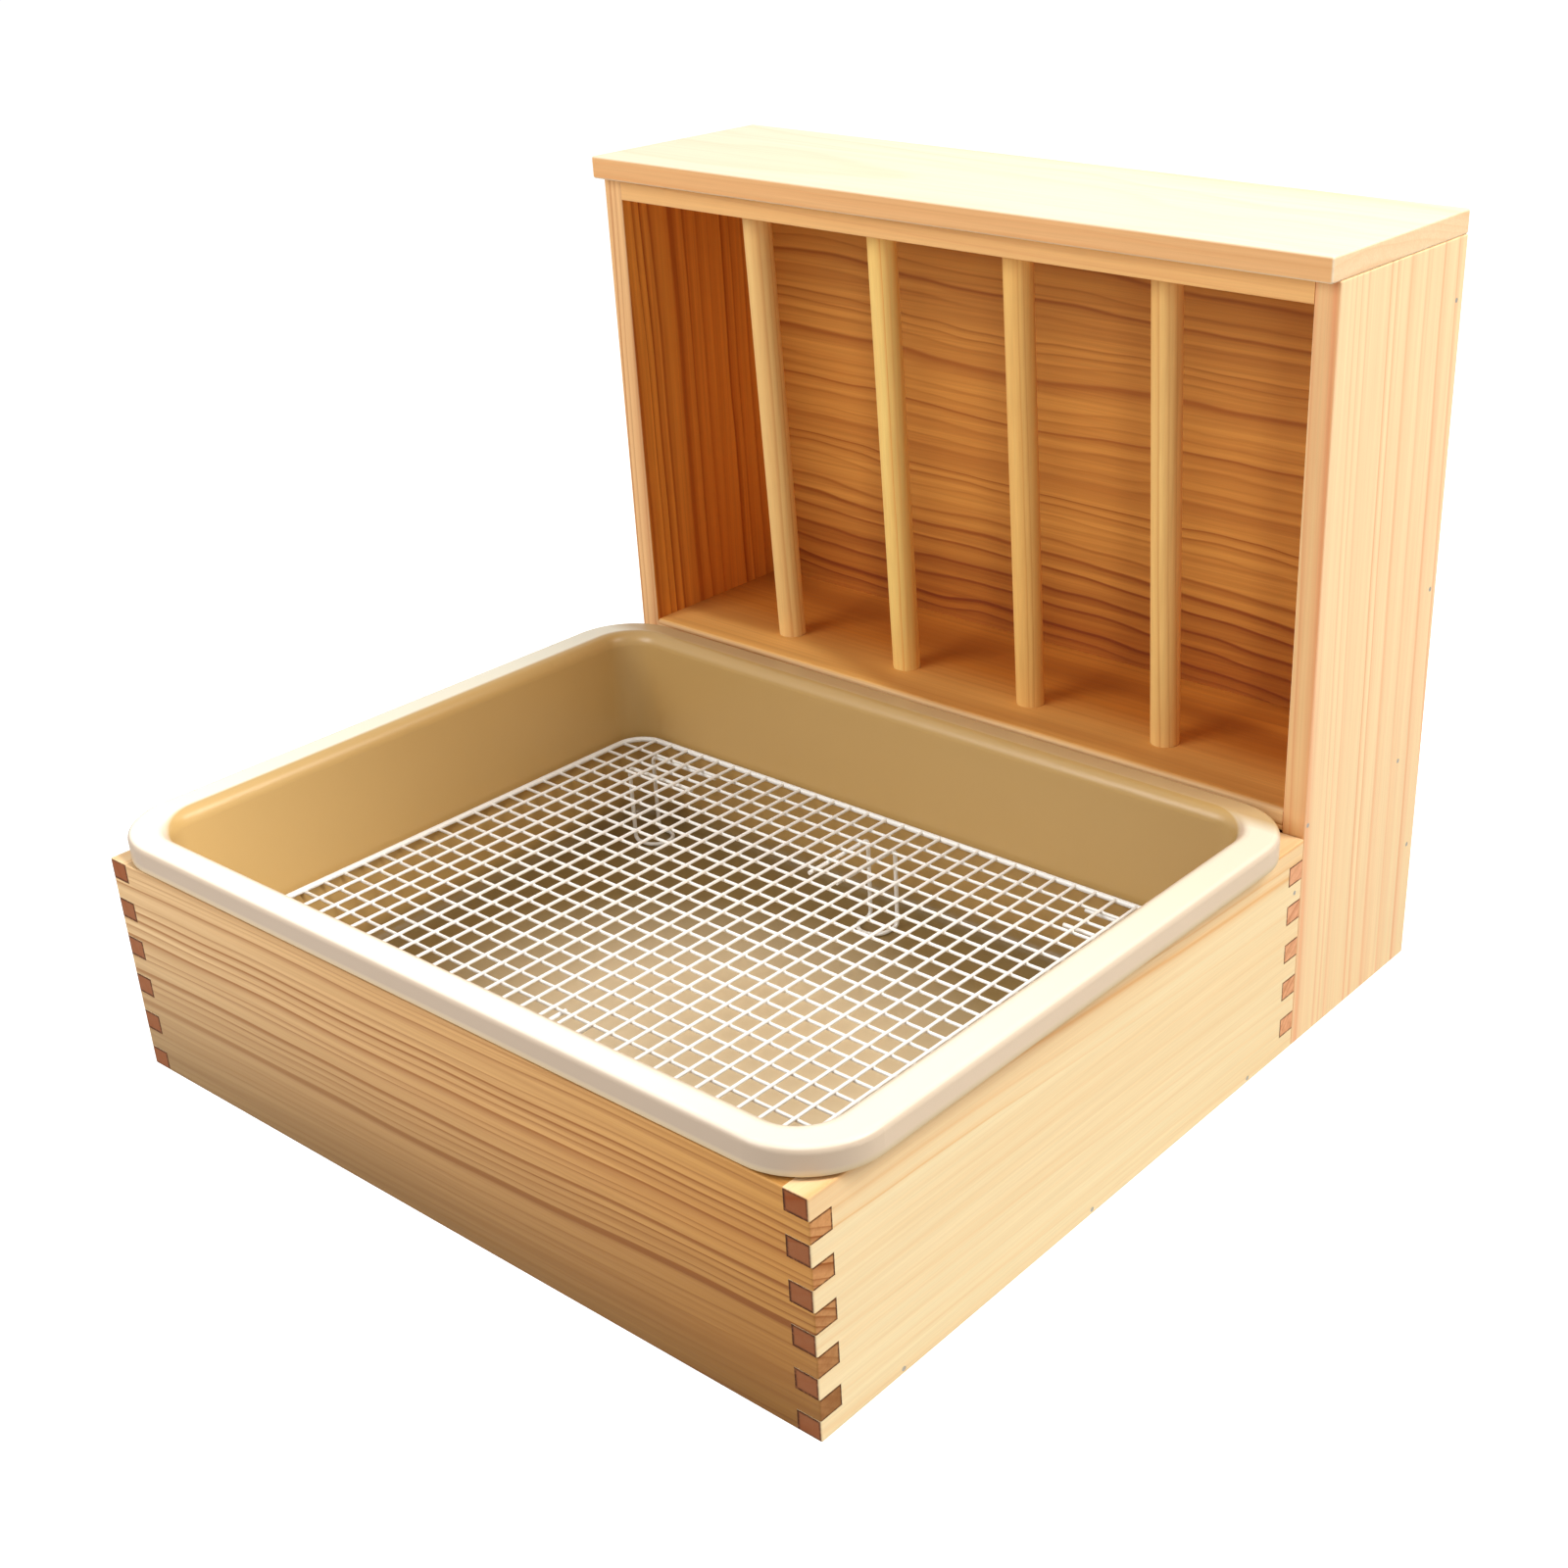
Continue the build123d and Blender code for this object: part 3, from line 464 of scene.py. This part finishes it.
def tray_plastic(rim_light_tone, skirt_shade_tone, front_skirt_shade_tone, basin_khaki_and_shade, floor_shade_tone, floor_light_tone):
    """Satin moulded plastic with a faint grain, painted pale on the rim as painted light and deeper in the
    basin, on the skirt and under the rack as painted shade.
    """
    material, tree = new_material("tray_plastic_with_painted_light")
    calc, blend, fade = (partial(kind, tree) for kind in (math_node, color_node, fade_node))
    place = add(tree, "ShaderNodeTexCoord")
    parts = add(tree, "ShaderNodeSeparateXYZ", {0: place.outputs["Object"]})
    facing = add(tree, "ShaderNodeSeparateXYZ", {0: place.outputs["Normal"]})

    # distance out from the rounded line where the flat of the rim ends and the basin begins
    basin_low = tray_low + Vector((RIM_LEFT + LIP_CORNER, RIM_FRONT + LIP_CORNER, 0.0))
    basin_high = tray_high - Vector((RIM_RIGHT + LIP_CORNER, RIM_BACK + LIP_CORNER, 0.0))
    middle = (basin_low + basin_high) / 2
    half = (basin_high - basin_low) / 2
    out_x = calc("SUBTRACT", calc("ABSOLUTE", calc("SUBTRACT", parts.outputs["X"], middle.x)), half.x)
    out_y = calc("SUBTRACT", calc("ABSOLUTE", calc("SUBTRACT", parts.outputs["Y"], middle.y)), half.y)
    round_x = calc("POWER", calc("MAXIMUM", out_x, 0.0), 2.0)
    round_y = calc("POWER", calc("MAXIMUM", out_y, 0.0), 2.0)
    inside = calc("MINIMUM", calc("MAXIMUM", out_x, out_y), 0.0)
    out = calc("ADD", calc("SQRT", calc("ADD", round_x, round_y)), inside)

    # painted shade: basin, outer skirt and the part of the rim that lies under the rack take deeper tones
    # than the rim's painted pale top
    depth = calc("SUBTRACT", tray_high.z, parts.outputs["Z"])
    basin = fade(out, LIP_CORNER + LIP_SOFT[0], LIP_CORNER + LIP_SOFT[1])
    basin = calc("MAXIMUM", basin, fade(depth, *BASIN_DEPTH))
    skirt_shade = calc("MULTIPLY", calc("SUBTRACT", 1.0, basin), fade(depth, *SKIRT_DEPTH))
    rack_shade = fade(parts.outputs["Y"], tray_high.y - RACK_SHADE_BACK[0], tray_high.y - RACK_SHADE_BACK[1])
    khaki_and_rack_shade = calc("MAXIMUM", basin, calc("MULTIPLY", rack_shade, RACK_SHADE_SHARE))
    front_face_shade = calc("MULTIPLY", facing.outputs["Y"], -1.0, clamp=True)
    color = blend(skirt_shade, (*rim_light_tone, 1), blend(front_face_shade, (*skirt_shade_tone, 1), (*front_skirt_shade_tone, 1)))
    color = blend(khaki_and_rack_shade, color, (*basin_khaki_and_shade, 1))

    # painted light and shade: the floor has a pale pool of painted light in its middle and painted shade
    # along the walls
    floor_light_x = calc("DIVIDE", calc("SUBTRACT", parts.outputs["X"], FLOOR_LIGHT_PLACE[0]), FLOOR_LIGHT_SIZE[0])
    floor_light_y = calc("DIVIDE", calc("SUBTRACT", parts.outputs["Y"], FLOOR_LIGHT_PLACE[1]), FLOOR_LIGHT_SIZE[1])
    floor_light_reach = calc("SQRT", calc("ADD", calc("POWER", floor_light_x, 2.0), calc("POWER", floor_light_y, 2.0)))
    on_floor = fade(parts.outputs["Z"], tray_low.z + FLOOR_HEIGHT[0], tray_low.z + FLOOR_HEIGHT[1])
    floor_light_and_shade = blend(fade(floor_light_reach, *FLOOR_LIGHT_EDGE), (*floor_shade_tone, 1), (*floor_light_tone, 1))
    color = blend(on_floor, color, floor_light_and_shade)

    # faint clouds in the color and the gloss, and a fine grain
    spot = place.outputs["Object"]
    cloud = add(tree, "ShaderNodeTexNoise", {"Vector": spot, "Scale": 9.0, "Detail": 2.0}).outputs["Fac"]
    grit = add(tree, "ShaderNodeTexNoise", {"Vector": spot, "Scale": 1400.0, "Detail": 2.0}).outputs["Fac"]
    color = blend(1.0, color, blend(cloud, (1, 1, 1, 1), (0.94, 0.93, 0.91, 1)), "MULTIPLY")
    worn = add(tree, "ShaderNodeMapRange", {"Value": cloud, "To Min": 0.26, "To Max": 0.38})
    bump = add(tree, "ShaderNodeBump", {"Strength": 0.12, "Distance": 0.0002, "Height": grit})
    surface = add(tree, "ShaderNodeBsdfPrincipled",
                  {"Base Color": color, "Roughness": worn.outputs[0],
                   "Normal": bump.outputs[0], "Specular IOR Level": 0.5})
    add(tree, "ShaderNodeOutputMaterial", {"Surface": surface.outputs[0]})
    return material


# the rim's tone is painted light; the skirt, front skirt and floor tones are painted shade, the basin's is
# its khaki with painted shade, and the last is a pool of painted light on the floor
finish_node("litter_tray", tray_plastic(
    rim_light_tone=(0.90, 0.86, 0.70), skirt_shade_tone=(0.78, 0.63, 0.48), front_skirt_shade_tone=(0.52, 0.41, 0.31),
    basin_khaki_and_shade=(0.55, 0.355, 0.132), floor_shade_tone=(0.24, 0.16, 0.06), floor_light_tone=(0.70, 0.56, 0.36)))

# ---------------------------------------------------------------- mesh platform
# Welded steel wires dipped in white plastic: a grid in a frame wire, on six bent wire legs.
# The dip leaves a small bead on each crossing, and no wire lies quite in its place.
GRID_PITCH = 0.012
GRID_WIRE = 0.0017


def white_wire_coat(tone):
    """White dipped plastic over steel wire, smooth and a little uneven."""
    material, tree = new_material("white_wire_coat")
    place = add(tree, "ShaderNodeTexCoord")
    spot = {"Vector": place.outputs["Object"], "Scale": 160.0, "Detail": 2.0}
    cloud = add(tree, "ShaderNodeTexNoise", spot).outputs["Fac"]
    shade = color_node(tree, cloud, (*tone, 1), (*[level * 0.93 for level in tone], 1))
    worn = add(tree, "ShaderNodeMapRange", {"Value": cloud, "To Min": 0.24, "To Max": 0.36})
    surface = add(tree, "ShaderNodeBsdfPrincipled", {"Base Color": shade, "Roughness": worn.outputs[0]})
    add(tree, "ShaderNodeOutputMaterial", {"Surface": surface.outputs[0]})
    return material


wire_coat = white_wire_coat((0.95, 0.94, 0.91))
finish_node("mesh_frame_wire", wire_coat)
for depth_name in ("front", "back"):
    for place_name in ("left", "middle", "right"):
        finish_node(f"mesh_{depth_name}_{place_name}_leg", wire_coat)

grid_tree = bpy.data.node_groups.new("wire_grid", "GeometryNodeTree")
grid_sockets = {}
for socket_name, socket_type in (
    ("Half width", "NodeSocketFloat"), ("Half depth", "NodeSocketFloat"), ("Middle Y", "NodeSocketFloat"),
    ("Cross height", "NodeSocketFloat"), ("Long height", "NodeSocketFloat"), ("Pitch", "NodeSocketFloat"),
    ("Columns", "NodeSocketInt"), ("Rows", "NodeSocketInt"), ("Wire radius", "NodeSocketFloat"),
    ("Wobble", "NodeSocketFloat"), ("Seed", "NodeSocketInt"), ("Coat", "NodeSocketMaterial"),
):
    grid_sockets[socket_name] = grid_tree.interface.new_socket(
        socket_name, in_out="INPUT", socket_type=socket_type)
grid_tree.interface.new_socket("Mesh", in_out="OUTPUT", socket_type="NodeSocketGeometry")
sizes = add(grid_tree, "NodeGroupInput").outputs
grid_calc = partial(math_node, grid_tree)


def grid_point(x=0.0, y=0.0, z=0.0):
    """A point or a step in the grid's own tree."""
    return add(grid_tree, "ShaderNodeCombineXYZ", {0: x, 1: y, 2: z}).outputs[0]


def wire_row(count, first, step, half_vector, seed_shift):
    """Parallel round wires, each a little off its place."""
    line = add(grid_tree, "GeometryNodeMeshLine", {"Count": count, "Start Location": first, "Offset": step})
    minus = add(grid_tree, "ShaderNodeVectorMath", {0: half_vector, "Scale": -1.0}, operation="SCALE")
    wire = add(grid_tree, "GeometryNodeCurvePrimitiveLine", {"Start": minus.outputs[0], "End": half_vector})
    ring = add(grid_tree, "GeometryNodeCurvePrimitiveCircle",
               {"Resolution": 10, "Radius": sizes["Wire radius"]})
    tube = add(grid_tree, "GeometryNodeCurveToMesh",
               {"Curve": wire.outputs[0], "Profile Curve": ring.outputs[0], "Fill Caps": True})
    smooth = add(grid_tree, "GeometryNodeSetShadeSmooth", {0: tube.outputs[0]})
    seed = grid_calc("ADD", sizes["Seed"], seed_shift)
    back = grid_calc("MULTIPLY", sizes["Wobble"], -1.0)
    least, most = grid_point(back, back), grid_point(sizes["Wobble"], sizes["Wobble"])
    shift = add(grid_tree, "FunctionNodeRandomValue", {"Min": least, "Max": most, "Seed": seed},
                data_type="FLOAT_VECTOR")
    moved = add(grid_tree, "GeometryNodeSetPosition",
                {"Geometry": line.outputs[0], "Offset": shift.outputs[0]})
    placed = add(grid_tree, "GeometryNodeInstanceOnPoints",
                 {"Points": moved.outputs[0], "Instance": smooth.outputs[0]})
    return placed.outputs[0]


last_x = grid_calc("MULTIPLY", grid_calc("MULTIPLY_ADD", sizes["Columns"], 0.5, -0.5), sizes["Pitch"])
last_y = grid_calc("MULTIPLY", grid_calc("MULTIPLY_ADD", sizes["Rows"], 0.5, -0.5), sizes["Pitch"])
first_x = grid_calc("MULTIPLY", last_x, -1.0)
first_y = grid_calc("SUBTRACT", sizes["Middle Y"], last_y)
cross_wires = wire_row(
    sizes["Columns"], grid_point(first_x, sizes["Middle Y"], sizes["Cross height"]),
    grid_point(x=sizes["Pitch"]), grid_point(y=sizes["Half depth"]), seed_shift=1)
long_wires = wire_row(
    sizes["Rows"], grid_point(0.0, first_y, sizes["Long height"]),
    grid_point(y=sizes["Pitch"]), grid_point(x=sizes["Half width"]), seed_shift=2)
crossings = add(grid_tree, "GeometryNodeMeshGrid",
                {"Size X": grid_calc("MULTIPLY", last_x, 2.0), "Size Y": grid_calc("MULTIPLY", last_y, 2.0),
                 "Vertices X": sizes["Columns"], "Vertices Y": sizes["Rows"]})
bead_z = grid_calc("MULTIPLY", grid_calc("ADD", sizes["Cross height"], sizes["Long height"]), 0.5)
crossings_placed = add(grid_tree, "GeometryNodeTransform", {
    "Geometry": crossings.outputs[0], "Translation": grid_point(0.0, sizes["Middle Y"], bead_z)})
bead_radius = grid_calc("MULTIPLY", sizes["Wire radius"], 1.32)
bead = add(grid_tree, "GeometryNodeMeshUVSphere", {"Segments": 8, "Rings": 5, "Radius": bead_radius})
bead_smooth = add(grid_tree, "GeometryNodeSetShadeSmooth", {0: bead.outputs[0]})
bead_size = add(grid_tree, "FunctionNodeRandomValue",
                {"Min": (0.9, 0.9, 0.85), "Max": (1.12, 1.12, 1.0), "Seed": sizes["Seed"]},
                data_type="FLOAT_VECTOR")
beads = add(grid_tree, "GeometryNodeInstanceOnPoints", {
    "Points": crossings_placed.outputs[0], "Instance": bead_smooth.outputs[0], "Scale": bead_size.outputs[0]})
joined = add(grid_tree, "GeometryNodeJoinGeometry")
for grid_part in (cross_wires, long_wires, beads.outputs[0]):
    grid_tree.links.new(grid_part, joined.inputs[0])
solid = add(grid_tree, "GeometryNodeRealizeInstances", {0: joined.outputs[0]})
coated = add(grid_tree, "GeometryNodeSetMaterial", {"Geometry": solid.outputs[0], "Material": sizes["Coat"]})
add(grid_tree, "NodeGroupOutput", {0: coated.outputs[0]})

long_low, long_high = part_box("mesh_long_wires")
cross_low, cross_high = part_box("mesh_cross_wires")
grid_seed_object = bpy.data.objects.new("wire_grid_tree", bpy.data.meshes.new("wire_grid_tree"))
scene.collection.objects.link(grid_seed_object)
grid_modifier = grid_seed_object.modifiers.new("wire_grid", "NODES")
grid_modifier.node_group = grid_tree
for socket_name, value in (
    ("Half width", (long_high.x - long_low.x) / 2), ("Half depth", (cross_high.y - cross_low.y) / 2),
    ("Middle Y", (cross_high.y + cross_low.y) / 2), ("Cross height", (cross_high.z + cross_low.z) / 2),
    ("Long height", (long_high.z + long_low.z) / 2), ("Pitch", GRID_PITCH),
    ("Columns", round((cross_high.x - cross_low.x - GRID_WIRE) / GRID_PITCH) + 1),
    ("Rows", round((long_high.y - long_low.y - GRID_WIRE) / GRID_PITCH) + 1),
    ("Wire radius", GRID_WIRE / 2), ("Wobble", 0.00012), ("Seed", 7), ("Coat", wire_coat),
):
    grid_modifier[grid_sockets[socket_name].identifier] = value
evaluated = grid_seed_object.evaluated_get(bpy.context.evaluated_depsgraph_get())
grid_mesh = bpy.data.meshes.new_from_object(evaluated)
bpy.data.objects.remove(grid_seed_object)
wire_grid = bpy.data.objects.new("wire_grid", grid_mesh)
scene.collection.objects.link(wire_grid)
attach(wire_grid, "mesh")
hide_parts("mesh_long_wires", "mesh_cross_wires")

# ---------------------------------------------------------------- sizes of all that is shown
low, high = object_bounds()
